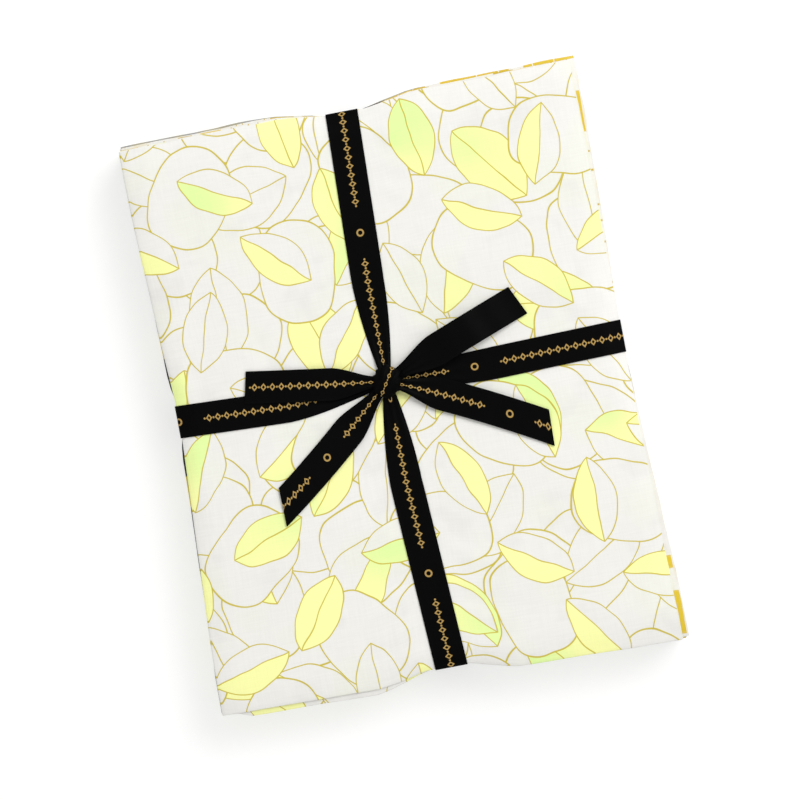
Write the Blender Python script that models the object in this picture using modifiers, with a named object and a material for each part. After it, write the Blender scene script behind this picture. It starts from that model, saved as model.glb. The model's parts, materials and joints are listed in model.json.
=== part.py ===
"""A bundle of fat quarters: printed cotton pieces, each folded twice, stacked and tied both ways with ribbon.

+X runs across the bundle, +Y along it and +Z up, in metres. The origin is on the floor under the middle
of the stack. Each fat quarter has its last fold at -X, its first fold at -Y and its cut edges at +X and +Y.
"""

import math
from collections import namedtuple

import bmesh
import bpy
from mathutils import Vector

MM = 0.001

# The cloth: a fat quarter is 18 by about 22 inches, folded in half both ways.
QUARTERS = 14
FOLDED_WIDTH = 228.6 * MM
FOLDED_LENGTH = 283.2 * MM
CLOTH_THICK = 0.36 * MM
LAYER_PITCH = 0.55 * MM
PIECE_GAP = 0.3 * MM
TURN_STEPS = 3

# The ribbon, and the middle of the channels that it presses into the stack.
RIBBON_WIDTH = 16 * MM
RIBBON_THICK = 0.4 * MM
RIBBON_X = -2.0 * MM
RIBBON_Y = 5.8 * MM
CHANNEL_HALF = 10 * MM
EDGE_CLEAR = 0.75 * MM
CROSSING_RAMP = 5 * MM

# How the bands are gathered where they come out of the knot: the distance from the knot, how high their
# middle line stands over the cloth and their width, in millimetres.
Gather = namedtuple("Gather", "away rise width")
GATHER_ROWS = [
    Gather(0.0, 1.7, 8.0),
    Gather(8.0, 0.5, 9.6),
    Gather(24.0, 0.5, 13.2),
    Gather(46.0, 0.5, 16.0),
]

# How the tied ribbon shapes the soft stack. The notch at its two short sides reaches less far than the dent.
SHOULDER = 14 * MM
NOTCH_REACH = 36 * MM
CHANNEL_PRESS = 1.3 * MM
EDGE_DROOP = 1.5 * MM
TIE_PINCH = 3 * MM
TIE_LIFT = 1.5 * MM

# The knot.
KNOT_X = -5.8 * MM
KNOT_HALF = Vector((7 * MM, 7.5 * MM, 3.6 * MM))
KNOT_FLAT = 3.3 * MM
WRAP_HEADING = 58
WRAP_HALF = 3.9 * MM
WRAP_FADE = 3.5 * MM
WRAP_RISE = 0.9 * MM

QUARTER_THICK = 3 * LAYER_PITCH + CLOTH_THICK
QUARTER_PITCH = QUARTER_THICK + PIECE_GAP
STACK_HEIGHT = QUARTERS * QUARTER_PITCH - PIECE_GAP
HALF_WIDTH = FOLDED_WIDTH / 2
HALF_LENGTH = FOLDED_LENGTH / 2
FOLD_REACH = 1.5 * LAYER_PITCH + CLOTH_THICK / 2
CREASE_REACH = (LAYER_PITCH + CLOTH_THICK) / 2
RIBBON_CLEAR = PIECE_GAP + RIBBON_THICK / 2
RIBBON_STEP = RIBBON_THICK + PIECE_GAP

# One row for each side of the stack, in millimetres: how far the tied ribbon draws it in, how much further
# the side stands out at its +X or +Y end than at its middle, and the X or Y of the band's middle line at the
# stack's edge and where the band is gathered towards the knot.
Side = namedtuple("Side", "notch skew band_edge band_gathered")
SIDES = {
    "fold": Side(4.4, -1.1, 5.3, 2.9),
    "cut": Side(2.4, -1.1, 6.3, 4.9),
    "crease": Side(4.2, 2.5, -0.9, -5.8),
    "end": Side(1.9, 1.2, -3.0, -5.8),
}

# One row for each fat quarter, from the bottom up, in millimetres. Four columns say how far the piece stands
# out past the stack's own outline: at its last fold, its long cut edges, its first fold (the crease) and its
# short cut edges. The skew is the piece's own. The slip is how far the lower half shows at the crease.
Quarter = namedtuple("Quarter", "cloth fold cut crease end skew slip")
QUARTER_ROWS = [
    Quarter("charcoal", 0.5, -0.8, 0.7, 1.3, 0.3, 0.0),
    Quarter("lime", 0.1, 0.2, 1.1, 0.8, -0.4, 0.9),
    Quarter("taupe", 0.7, -0.4, 0.5, 1.6, 0.2, 0.0),
    Quarter("white", 0.2, -0.9, 1.2, 1.0, -0.5, 1.2),
    Quarter("mint", 0.6, 0.1, 0.8, 0.6, 0.4, 0.4),
    Quarter("ochre", 0.0, 0.4, 1.0, 1.7, -0.2, 0.0),
    Quarter("grey", 0.4, -0.6, 1.3, 1.1, 0.5, 0.6),
    Quarter("lemon", 0.1, 0.3, 0.4, 1.5, -0.3, 1.0),
    Quarter("taupe", 0.6, -0.2, 1.1, 0.9, 0.3, 0.0),
    Quarter("olive", 0.3, -0.5, 0.7, 2.0, -0.2, 0.5),
    Quarter("charcoal", 0.7, -1.3, 0.6, 2.1, -0.3, 0.0),
    Quarter("ochre", 0.1, -0.4, 1.0, 1.9, 0.5, 0.3),
    Quarter("white", 0.3, 0.3, 0.9, 1.4, -0.2, 0.0),
    Quarter("printed", 0.8, -2.6, 1.4, 0.4, 0.3, 2.6),
]

# How unevenly the four layers of a piece end at its cut edges, in millimetres.
LAYER_STEPS = (0.0, 0.6, -0.7, 0.9)

# One row for each free end of the ribbon: its heading at the knot in degrees, a point half way and its tip,
# the slant of its cut in degrees and how high it arches on its way. Places are in millimetres, from the
# stack's middle.
Tail = namedtuple("Tail", "name heading mid tip slant arch rides_band")
TAIL_ROWS = [
    Tail("tail_left", 172, (-40.2, 10.6), (-74.7, 15.8), 4, 1.2, True),
    Tail("tail_upper_right", 26, (30.9, 20.4), (64.7, 33.0), -5, 4.5, False),
    Tail("tail_lower_right", -23, (32.3, -11.6), (69.4, -31.6), -28, 1.0, False),
    Tail("tail_lower_left", 221, (-38.6, -22.9), (-67.5, -45.3), 35, 0.6, False),
]
TAIL_STEPS = 10
TAIL_ROOT_WIDTH = 5.2 * MM
TAIL_ROOT_RISE = 0.6 * MM
TAIL_SPREAD = 30 * MM
TAIL_FALL = 30 * MM
TAIL_LOOSE = 0.15 * MM
BAND_LOOSE = 0.25 * MM

# Colours are linear red, green and blue, with the roughness of each cloth.
Finish = namedtuple("Finish", "colour roughness")
FINISHES = {
    "printed": Finish((0.86, 0.86, 0.80), 0.85),
    "white": Finish((0.84, 0.83, 0.81), 0.85),
    "ochre": Finish((0.68, 0.46, 0.05), 0.85),
    "lemon": Finish((0.93, 0.91, 0.32), 0.85),
    "lime": Finish((0.66, 0.86, 0.28), 0.85),
    "mint": Finish((0.52, 0.76, 0.66), 0.85),
    "grey": Finish((0.56, 0.55, 0.54), 0.85),
    "taupe": Finish((0.42, 0.36, 0.32), 0.85),
    "olive": Finish((0.20, 0.20, 0.04), 0.85),
    "charcoal": Finish((0.015, 0.016, 0.018), 0.85),
    "ribbon": Finish((0.006, 0.006, 0.007), 0.55),
}


def clear_scene():
    """Removes what the scene holds."""
    for old in list(bpy.data.objects):
        bpy.data.objects.remove(old, do_unlink=True)


def material_of(finish_name):
    """The Principled material of one finish, made once."""
    found = bpy.data.materials.get(finish_name)
    if found:
        return found
    finish = FINISHES[finish_name]
    made = bpy.data.materials.new(finish_name)
    made.use_nodes = True
    shader = made.node_tree.nodes["Principled BSDF"]
    shader.inputs["Base Color"].default_value = (*finish.colour, 1)
    shader.inputs["Roughness"].default_value = finish.roughness
    shader.inputs["Metallic"].default_value = 0
    return made


def clamp(value):
    """The value kept from 0 to 1."""
    return min(1.0, max(0.0, value))


def near(place, ribbon_at, half_side):
    """1 in the ribbon's channel, falling evenly to 0 at the shoulder of the stack."""
    side = half_side - SHOULDER + (ribbon_at if place < ribbon_at else -ribbon_at)
    return clamp(1 - (abs(place - ribbon_at) - CHANNEL_HALF) / (side - CHANNEL_HALF))


def notched(x):
    """1 in the lengthwise ribbon's channel, falling evenly to 0 where the notch of the short sides ends."""
    return clamp(1 - (abs(x - RIBBON_X) - CHANNEL_HALF) / (NOTCH_REACH - CHANNEL_HALF))


def edge(place, half_side):
    """0 up to the shoulder and 1 at the stack's outline, growing evenly and on past it."""
    return max(0.0, (abs(place) - half_side + SHOULDER) / SHOULDER)


def pressed(x, y):
    """The heights of the stack's underside and top at a point of its plan."""
    along, across = near(x, RIBBON_X, HALF_WIDTH), near(y, RIBBON_Y, HALF_LENGTH)
    side, end = edge(x, HALF_WIDTH), edge(y, HALF_LENGTH)
    tied = notched(x) * end + across * side
    bottom = RIBBON_STEP * (along + across) + TIE_LIFT * tied
    droop = EDGE_DROOP * (side + end)
    top = STACK_HEIGHT - CHANNEL_PRESS * (along + across) - droop - TIE_PINCH * tied
    return bottom, top


def settle(mesh):
    """Moves a level mesh's points to the heights that the tied stack gives them."""
    for point in mesh.vertices:
        bottom, top = pressed(point.co.x, point.co.y)
        point.co.z = bottom + point.co.z / STACK_HEIGHT * (top - bottom)


def grid(name, columns, rows, place):
    """An open sheet of columns by rows cells, each point put where place(column, row) says.

    Each cell is split along the diagonal that goes round the ribbons' crossing, not away from it, so that
    sheets that lie on each other are creased the same way.
    """
    work = bmesh.new()
    bmesh.ops.create_grid(work, x_segments=columns, y_segments=rows, size=1)
    for point in work.verts:
        column = round((point.co.x + 1) * columns / 2)
        row = round((point.co.y + 1) * rows / 2)
        point.co = place(column, row)
    for face in list(work.faces):
        corners = list(face.verts)
        away = [math.hypot(corner.co.x - RIBBON_X, corner.co.y - RIBBON_Y) for corner in corners]
        first = 0 if abs(away[0] - away[2]) < abs(away[1] - away[3]) else 1
        bmesh.utils.face_split(face, corners[first], corners[first + 2])
    mesh = bpy.data.meshes.new(name)
    work.to_mesh(mesh)
    work.free()
    return mesh


def thickened(mesh, thickness):
    """The mesh given a thickness, half to each side, as a mesh of its own."""
    helper = bpy.data.objects.new("helper", mesh)
    bpy.context.scene.collection.objects.link(helper)
    solid = helper.modifiers.new("thickness", "SOLIDIFY")
    solid.thickness = thickness
    solid.offset = 0
    solid.use_even_offset = True
    graph = bpy.context.evaluated_depsgraph_get()
    made = bpy.data.meshes.new_from_object(helper.evaluated_get(graph))
    bpy.data.objects.remove(helper)
    return made


def add_node(name, mesh, finish_name, collection):
    """Makes a mesh one named object of the bundle, facing out and shaded smooth across its soft creases."""
    work = bmesh.new()
    work.from_mesh(mesh)
    bmesh.ops.recalc_face_normals(work, faces=work.faces)
    work.to_mesh(mesh)
    work.free()
    mesh.name = name
    mesh.materials.clear()
    mesh.materials.append(material_of(finish_name))
    mesh.shade_smooth()
    mesh.set_sharp_from_angle(angle=math.radians(35))
    node = bpy.data.objects.new(name, mesh)
    collection.objects.link(node)
    return node


def creases(ribbon_at, half_side, *dents):
    """The places where the tied stack bends along one way, from side to side.

    dents are the distances from the ribbon's middle line at which it bends.
    """
    shoulder = half_side - SHOULDER
    bends = [ribbon_at - dent for dent in dents] + [ribbon_at + dent for dent in dents]
    return sorted([-half_side, -shoulder, *bends, shoulder, half_side])


def doubled(run):
    """The steps of a sheet folded once: out along one layer, round the turn and back along the other.

    Each step is its place in the run, from the fold at 0 to the cut edge, and the angle turned so far.
    """
    last = len(run) - 1
    out = [(n, 0.0) for n in range(last, -1, -1)]
    turn = [(0, math.pi * n / TURN_STEPS) for n in range(1, TURN_STEPS)]
    back = [(n, math.pi) for n in range(last + 1)]
    return out + turn + back


def fat_quarter(level, row):
    """The level solid of one fat quarter, folded in half and in half again."""
    x_places = creases(RIBBON_X, HALF_WIDTH, CHANNEL_HALF, NOTCH_REACH)
    y_places = creases(RIBBON_Y, HALF_LENGTH, CHANNEL_HALF)
    across, along = doubled(x_places), doubled(y_places)
    middle = level * QUARTER_PITCH + QUARTER_THICK / 2

    def stand_out(side, place, layer):
        """How far one side stands out at a place along it: drawn in under the ribbon, uneven elsewhere."""
        if side in ("fold", "cut"):
            half_side, tied = HALF_LENGTH, near(place, RIBBON_Y, HALF_LENGTH)
        else:
            half_side, tied = HALF_WIDTH, notched(place)
        loose = getattr(row, side) + layer + (row.skew + SIDES[side].skew) * place / half_side
        return ((1 - tied) * loose - tied * SIDES[side].notch) * MM

    def place(column, step):
        """Where one point of the flat cloth goes once it is folded twice."""
        x_step, last_turn = across[column]
        y_step, first_turn = along[step]
        lower_half = last_turn > 1
        layer = LAYER_STEPS[(lower_half * 2 + (first_turn > 1) + level) % len(LAYER_STEPS)]
        slip = row.slip if lower_half and x_step in (1, 2) else 0
        x_guess, y_guess = x_places[x_step], y_places[y_step]
        x, y = x_guess, y_guess
        if x_step == 0:
            x += FOLD_REACH - stand_out("fold", y_guess, 0)
        if x_step == len(x_places) - 1:
            x += stand_out("cut", y_guess, layer)
        if y_step == 0:
            y += CREASE_REACH - stand_out("crease", x_guess, slip)
        if y_step == len(y_places) - 1:
            y += stand_out("end", x_guess, layer)
        radius = LAYER_PITCH * (1 + 0.5 * math.cos(first_turn))
        x -= radius * math.sin(last_turn)
        y -= LAYER_PITCH / 2 * math.sin(first_turn)
        return Vector((x, y, middle + radius * math.cos(last_turn)))

    return grid("level", len(across) - 1, len(along) - 1, place)


def build_quarters(collection):
    """The stack of folded fat quarters, one object each."""
    for level, row in enumerate(QUARTER_ROWS):
        mesh = thickened(fat_quarter(level, row), CLOTH_THICK)
        settle(mesh)
        add_node(f"quarter_{level + 1:02d}", mesh, row.cloth, collection)


def ribbon(name, stations, collection):
    """A length of ribbon along its stations, each a middle point and the vector to its +side edge."""
    def place(column, row):
        """The point of the ribbon at one station, at its edges or its middle line."""
        middle, side = stations[column]
        return middle + side * (row - 1)

    mesh = thickened(grid(name, len(stations) - 1, 2, place), RIBBON_THICK)
    return add_node(name, mesh, "ribbon", collection)


def knot_floor():
    """The height of the cloth under the knot."""
    return pressed(RIBBON_X, RIBBON_Y)[1]


def knot_middle():
    """The middle of the knot."""
    return Vector((KNOT_X, RIBBON_Y, knot_floor() + PIECE_GAP + KNOT_FLAT))


def knot_reach(heading, height):
    """How far from the knot's middle its surface lies, in a heading and at a height above its middle."""
    flat = math.hypot(math.cos(heading) / KNOT_HALF.x, math.sin(heading) / KNOT_HALF.y)
    return math.sqrt(1 - (height / KNOT_HALF.z) ** 2) / flat


def between(start, end, share):
    """The value at a share of the way from start to end."""
    return start + (end - start) * share


def band_stations(lengthwise):
    """The stations of one band round the stack, from one side of the knot to the other.

    A place is how far along the band's own axis a station lies, and aside is how far across it.
    """
    half_side = HALF_LENGTH if lengthwise else HALF_WIDTH
    sides = {-1: SIDES["crease" if lengthwise else "fold"], 1: SIDES["end" if lengthwise else "cut"]}
    knot = knot_middle()
    knot_at, knot_aside = (knot.y, knot.x) if lengthwise else (knot.x, knot.y)
    root = GATHER_ROWS[0].rise * MM - PIECE_GAP - KNOT_FLAT + RIBBON_THICK / 2
    reach = knot_reach(math.pi / 2 if lengthwise else 0, root) + PIECE_GAP
    shoulder = half_side - SHOULDER
    on_floor = RIBBON_THICK / 2

    def cloth(place, aside, width):
        """The heights of the underside and the top of the cloth under the band's width."""
        edges = [(aside + sign * width / 2, place) for sign in (-1, 1)]
        heights = [pressed(*(edge if lengthwise else edge[::-1])) for edge in edges]
        return min(low for low, _ in heights), max(high for _, high in heights)

    def top_run(sign):
        """From the knot out over the shoulder to the outline, as rows of place, aside, height and width."""
        side = sides[sign]
        outline = sign * (half_side - side.notch * MM)
        gathered = GATHER_ROWS[-1].away * MM
        rows = []
        for row in GATHER_ROWS:
            aside = between(knot_aside, side.band_gathered * MM, row.away * MM / gathered)
            rows.append((knot_at + sign * (reach + row.away * MM), aside, row.rise * MM, row.width * MM))
        loose = rows[-1][0]
        share = (sign * shoulder - loose) / (outline - loose)
        aside = between(side.band_gathered, side.band_edge, share) * MM
        rows.append((sign * shoulder, aside, RIBBON_CLEAR, RIBBON_WIDTH))
        rows.append((outline, side.band_edge * MM, EDGE_CLEAR, RIBBON_WIDTH))
        return [(at, aside, cloth(at, aside, width)[1] + lift, width) for at, aside, lift, width in rows]

    def side_run(sign):
        """Down the stack's side, on one side."""
        outline = sign * (half_side - sides[sign].notch * MM)
        aside = sides[sign].band_edge * MM
        low, high = cloth(outline, aside, RIBBON_WIDTH)
        outside = outline + sign * EDGE_CLEAR
        places = ((outside, high), (outside, low), (outline, low - EDGE_CLEAR))
        return [(place, aside, height, RIBBON_WIDTH) for place, height in places]

    floor_run = [(shoulder, on_floor)]
    if not lengthwise:
        ramp = CHANNEL_HALF + CROSSING_RAMP
        raised = on_floor + RIBBON_STEP
        over = ((ramp, on_floor), (CHANNEL_HALF, raised), (-CHANNEL_HALF, raised), (-ramp, on_floor))
        floor_run += [(RIBBON_X + offset, height) for offset, height in over]
    floor_run.append((-shoulder, on_floor))
    under = []
    for place, height in floor_run:
        aside = between(sides[-1].band_edge, sides[1].band_edge, (place / half_side + 1) / 2) * MM
        under.append((place, aside, height, RIBBON_WIDTH))

    stations = []
    course = top_run(1) + side_run(1) + under + side_run(-1)[::-1] + top_run(-1)[::-1]
    for place, aside, height, width in course:
        if lengthwise:
            stations.append((Vector((aside, place, height)), Vector((width / 2, 0, 0))))
        else:
            stations.append((Vector((place, aside, height)), Vector((0, width / 2, 0))))
    return stations


def build_bands(collection):
    """The two bands that go round the stack."""
    ribbon("ribbon_lengthwise", band_stations(lengthwise=True), collection)
    ribbon("ribbon_crosswise", band_stations(lengthwise=False), collection)


def tail_hover(share, length, row):
    """How high a tail's middle line stands over the cloth, at a share of its length from its root."""
    root = PIECE_GAP + KNOT_FLAT + TAIL_ROOT_RISE
    rest = RIBBON_CLEAR + (RIBBON_STEP if row.rides_band else 0) + TAIL_LOOSE
    over_band = RIBBON_CLEAR + RIBBON_STEP + BAND_LOOSE
    fall = clamp(share * length / TAIL_FALL)
    settled = over_band + (rest - over_band) * clamp(2 * share - 1)
    arch = row.arch * MM * math.sin(math.pi * share) ** 1.5 if share < 1 else 0
    return root + (settled - root) * fall * fall * (3 - 2 * fall) + arch


def build_tail(row, collection):
    """One free end of the ribbon, from the knot to its slanted cut."""
    heading = math.radians(row.heading)
    middle = knot_middle()
    start = knot_reach(heading, TAIL_ROOT_RISE) + 2 * PIECE_GAP
    root = Vector((middle.x + start * math.cos(heading), middle.y + start * math.sin(heading)))
    half_way, tip = Vector(row.mid) * MM, Vector(row.tip) * MM
    bend = 2 * half_way - (root + tip) / 2
    length = (half_way - root).length + (tip - half_way).length
    stations = []
    for n in range(TAIL_STEPS + 1):
        t = n / TAIL_STEPS
        point = root * (1 - t) ** 2 + bend * 2 * t * (1 - t) + tip * t ** 2
        along = ((bend - root) * (1 - t) + (tip - bend) * t).normalized()
        if n == 0:
            along = Vector((math.cos(heading), math.sin(heading)))
        spread = clamp(t * length / TAIL_SPREAD)
        width = TAIL_ROOT_WIDTH + (RIBBON_WIDTH - TAIL_ROOT_WIDTH) * spread
        side = Vector((-along.y, along.x)) * width / 2
        side += along * side.length * math.tan(math.radians(row.slant)) * t ** 4
        height = pressed(point.x, point.y)[1] + tail_hover(t, length, row)
        stations.append((Vector((*point, height)), Vector((*side, 0))))
    ribbon(row.name, stations, collection)


def build_knot(collection):
    """The knot: a flattened bundle of ribbon with one turn drawn slantwise over its top."""
    work = bmesh.new()
    bmesh.ops.create_uvsphere(work, u_segments=20, v_segments=12, radius=1)
    wrap = math.radians(WRAP_HEADING)
    for point in work.verts:
        across = (-point.co.x * math.sin(wrap) * KNOT_HALF.x + point.co.y * math.cos(wrap) * KNOT_HALF.y)
        over = clamp(0.5 + (WRAP_HALF - abs(across)) / WRAP_FADE) * clamp(point.co.z * 2)
        point.co.x *= KNOT_HALF.x
        point.co.y *= KNOT_HALF.y
        point.co.z = max(point.co.z * KNOT_HALF.z, -KNOT_FLAT) + WRAP_RISE * over
        point.co += knot_middle()
    bmesh.ops.remove_doubles(work, verts=work.verts, dist=1e-6)
    mesh = bpy.data.meshes.new("ribbon_knot")
    work.to_mesh(mesh)
    work.free()
    add_node("ribbon_knot", mesh, "ribbon", collection)


def main():
    """Builds the bundle."""
    clear_scene()
    bundle = bpy.data.collections.new("fat_quarter_bundle")
    bpy.context.scene.collection.children.link(bundle)
    build_quarters(bundle)
    build_bands(bundle)
    build_knot(bundle)
    for row in TAIL_ROWS:
        build_tail(row, bundle)


main()
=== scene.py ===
"""The looks of a tied bundle of fat quarters: folded printed cottons, a black ribbon with gold print, a knot.

Lengths are in metres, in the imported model's own frame: +X across the bundle, +Y along it and +Z up.
"""

from __future__ import annotations

import json
import logging
import math
from dataclasses import dataclass, field
from enum import Enum
from typing import Mapping, Sequence

import bmesh
import bpy
import numpy as np
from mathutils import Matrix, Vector

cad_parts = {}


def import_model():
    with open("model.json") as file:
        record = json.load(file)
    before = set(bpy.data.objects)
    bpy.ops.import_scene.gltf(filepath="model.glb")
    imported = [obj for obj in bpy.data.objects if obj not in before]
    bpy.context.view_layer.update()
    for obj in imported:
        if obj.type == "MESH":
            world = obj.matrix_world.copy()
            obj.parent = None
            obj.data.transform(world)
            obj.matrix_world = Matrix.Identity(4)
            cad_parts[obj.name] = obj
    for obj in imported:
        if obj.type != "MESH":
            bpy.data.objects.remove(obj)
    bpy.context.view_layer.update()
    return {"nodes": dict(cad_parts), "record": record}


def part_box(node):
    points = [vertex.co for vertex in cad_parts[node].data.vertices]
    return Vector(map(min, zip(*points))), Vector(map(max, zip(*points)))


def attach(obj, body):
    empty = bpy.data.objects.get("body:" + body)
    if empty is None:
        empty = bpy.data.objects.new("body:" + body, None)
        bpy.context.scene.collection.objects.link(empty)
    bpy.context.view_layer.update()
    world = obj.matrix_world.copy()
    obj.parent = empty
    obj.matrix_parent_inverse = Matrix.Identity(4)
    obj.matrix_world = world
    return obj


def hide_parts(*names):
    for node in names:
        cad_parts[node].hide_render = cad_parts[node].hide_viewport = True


LOG = logging.getLogger("bundle")
MM = 0.001
BODY = "root"
RIBBON_WIDTH = 16 * MM
SHEET_THICK = 0.34 * MM
Colour = tuple[float, float, float]
Socket = bpy.types.NodeSocket


def eased(share: float | np.ndarray) -> float | np.ndarray:
    """A soft step from 0 to 1, level at both ends, as a share goes evenly from 0 to 1."""
    return share * share * (3 - 2 * share)


def held(share: float) -> float:
    """A share kept from 0 to 1."""
    return min(1.0, max(0.0, share))


def show(item: bpy.types.Object) -> bpy.types.Object:
    """Puts an object into the scene."""
    bpy.context.scene.collection.objects.link(item)
    return item


class Wire:
    """One output of a node tree, with the arithmetic that the finishes and forms are written in."""

    def __init__(self, graph: "Graph", socket: Socket) -> None:
        """Keeps the socket and the graph that new nodes go to."""
        self.graph = graph
        self.socket = socket

    def __add__(self, other: "Wire | float") -> "Wire":
        """The sum."""
        return self.graph.math("ADD", self, other)

    def __sub__(self, other: "Wire | float") -> "Wire":
        """The difference."""
        return self.graph.math("SUBTRACT", self, other)

    def __rsub__(self, other: float) -> "Wire":
        """A number less this."""
        return self.graph.math("SUBTRACT", other, self)

    def __mul__(self, other: "Wire | float") -> "Wire":
        """The product."""
        return self.graph.math("MULTIPLY", self, other)

    def __truediv__(self, other: "Wire | float") -> "Wire":
        """The quotient."""
        return self.graph.math("DIVIDE", self, other)

    def __pow__(self, other: "Wire | float") -> "Wire":
        """The power."""
        return self.graph.math("POWER", self, other)

    def __abs__(self) -> "Wire":
        """The size without its sign."""
        return self.graph.math("ABSOLUTE", self)

    __radd__ = __add__
    __rmul__ = __mul__


class Graph:
    """Builds one node tree, of a material or of Geometry Nodes."""

    def __init__(self, tree: bpy.types.NodeTree) -> None:
        """Keeps the tree that nodes are added to."""
        self.tree = tree

    @staticmethod
    def pick(sockets: Sequence[Socket], key: int | str) -> Socket:
        """Finds a socket by its index, identifier or name."""
        if isinstance(key, int):
            return sockets[key]
        exact = [s for s in sockets if s.identifier == key]
        return (exact or [s for s in sockets if s.name == key])[0]

    def join(self, value: object, target: Socket) -> None:
        """Links a wire to a socket, or sets the socket's own value."""
        if isinstance(value, Wire):
            self.tree.links.new(value.socket, target)
        else:
            target.default_value = value

    def add(self, kind: str, settings: Mapping[str, object], values: Mapping[int | str, object]) -> bpy.types.Node:
        """Adds a node.

        Args:
            kind: The node's type.
            settings: What is set on the node itself, before its sockets.
            values: What goes to each input, a value or a wire.

        Returns:
            The node.
        """
        made = self.tree.nodes.new(kind)
        for name, value in settings.items():
            setattr(made, name, value)
        for key, value in values.items():
            self.join(value, self.pick(made.inputs, key))
        return made

    def node(self, kind: str, settings: Mapping[str, object], values: Mapping[int | str, object],
             out: int | str = 0) -> Wire:
        """Adds a node and gives one of its outputs as a wire."""
        made = self.add(kind, settings, values)
        return Wire(self, self.pick(made.outputs, out))

    def math(self, operation: str, *values: "Wire | float") -> Wire:
        """A Math node on up to three values."""
        return self.node("ShaderNodeMath", {"operation": operation}, dict(enumerate(values)))

    def vector(self, operation: str, *values: object, out: int | str = 0) -> Wire:
        """A Vector Math node."""
        return self.node("ShaderNodeVectorMath", {"operation": operation}, dict(enumerate(values)), out)

    def parts(self, wire: Wire) -> tuple[Wire, Wire, Wire]:
        """The three parts of a vector."""
        made = self.add("ShaderNodeSeparateXYZ", {}, {0: wire})
        return tuple(Wire(self, made.outputs[n]) for n in range(3))

    def together(self, x: object, y: object, z: object) -> Wire:
        """A vector of three numbers or wires."""
        return self.node("ShaderNodeCombineXYZ", {}, {0: x, 1: y, 2: z})


class Shader(Graph):
    """Builds one material's tree around its Principled shader."""

    def __init__(self, name: str, sheen: float = 0.0, specular: float = 0.5) -> None:
        """Makes the material, and sets what is the same all over it."""
        self.material = bpy.data.materials.new(name)
        self.material.use_nodes = True
        super().__init__(self.material.node_tree)
        self.surface = self.tree.nodes["Principled BSDF"]
        self.surface.inputs["Sheen Weight"].default_value = sheen
        self.surface.inputs["Sheen Roughness"].default_value = 0.5
        self.surface.inputs["Specular IOR Level"].default_value = specular

    def uv(self) -> Wire:
        """The piece's own map: where each point lies on the flat cloth or ribbon, in metres."""
        return self.node("ShaderNodeUVMap", {"uv_map": "UVMap"}, {})

    def smooth(self, value: Wire, low: float, high: float) -> Wire:
        """0 below low, 1 above high and a soft step between; the other way round where low is the larger."""
        limits = {"From Min": min(low, high), "From Max": max(low, high)}
        limits |= {"To Min": 0.0, "To Max": 1.0} if low < high else {"To Min": 1.0, "To Max": 0.0}
        return self.node("ShaderNodeMapRange", {"interpolation_type": "SMOOTHSTEP"}, {"Value": value, **limits})

    def mix(self, mask: "Wire | float", under: object, over: object) -> Wire:
        """One colour laid over another where the mask is 1."""
        under = under if isinstance(under, Wire) else (*under, 1.0)
        over = over if isinstance(over, Wire) else (*over, 1.0)
        return self.node("ShaderNodeMix", {"data_type": "RGBA", "clamp_factor": True},
                         {"Factor_Float": mask, "A_Color": under, "B_Color": over}, "Result_Color")

    def noise(self, place: Wire, size: float, detail: float = 2.0, roughness: float = 0.5) -> Wire:
        """Soft noise from 0 to 1 with features of about a size in metres."""
        return self.node("ShaderNodeTexNoise", {"noise_dimensions": "3D"},
                         {"Vector": place, "Scale": 1 / size, "Detail": detail, "Roughness": roughness})

    def finish(self, colour: Wire, roughness: "Wire | float", height: Wire, relief: float) -> bpy.types.Material:
        """Feeds the surface.

        Args:
            colour: The base colour.
            roughness: The roughness.
            height: The small relief, from 0 to 1.
            relief: How high that relief stands, in metres.

        Returns:
            The finished material.
        """
        bump = self.node("ShaderNodeBump", {}, {"Height": height, "Distance": relief, "Strength": 1.0})
        self.join(colour, self.surface.inputs["Base Color"])
        self.join(roughness, self.surface.inputs["Roughness"])
        self.join(bump, self.surface.inputs["Normal"])
        return self.material


class Print(Enum):
    """The designs that the cottons are printed with."""

    LEAVES = "leaves"
    BLOCKS = "blocks"
    SPOTS = "spots"
    PLAIN = "plain"


@dataclass(frozen=True)
class Motif:
    """One layer of a leaf print: a leaf or pebble in each cell of its own turned grid."""

    cell: float
    turn: float
    long: float
    wide: float
    filled: float
    seed: float
    leaf: bool


LEAF_LAYERS = (
    Motif(cell=66 * MM, turn=0.30, long=0.42, wide=0.36, filled=0.0, seed=3.0, leaf=False),
    Motif(cell=58 * MM, turn=1.15, long=0.43, wide=0.34, filled=0.0, seed=11.0, leaf=False),
    Motif(cell=54 * MM, turn=2.05, long=0.44, wide=0.27, filled=0.80, seed=23.0, leaf=True),
    Motif(cell=63 * MM, turn=0.80, long=0.40, wide=0.30, filled=0.0, seed=31.0, leaf=False),
    Motif(cell=47 * MM, turn=2.60, long=0.43, wide=0.23, filled=0.80, seed=47.0, leaf=True),
)


# The cells of the block and spot prints across and along the cloth, the distance from the last fold to the long
# cut edge, and where in its cell that edge lies.
BLOCK_CELL = (14 * MM, 24.6 * MM)
SPOT_CELL = (7.5 * MM, 7.55 * MM)
CUT_EDGE = 228 * MM
EDGE_IN_CELL = 1.55


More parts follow.
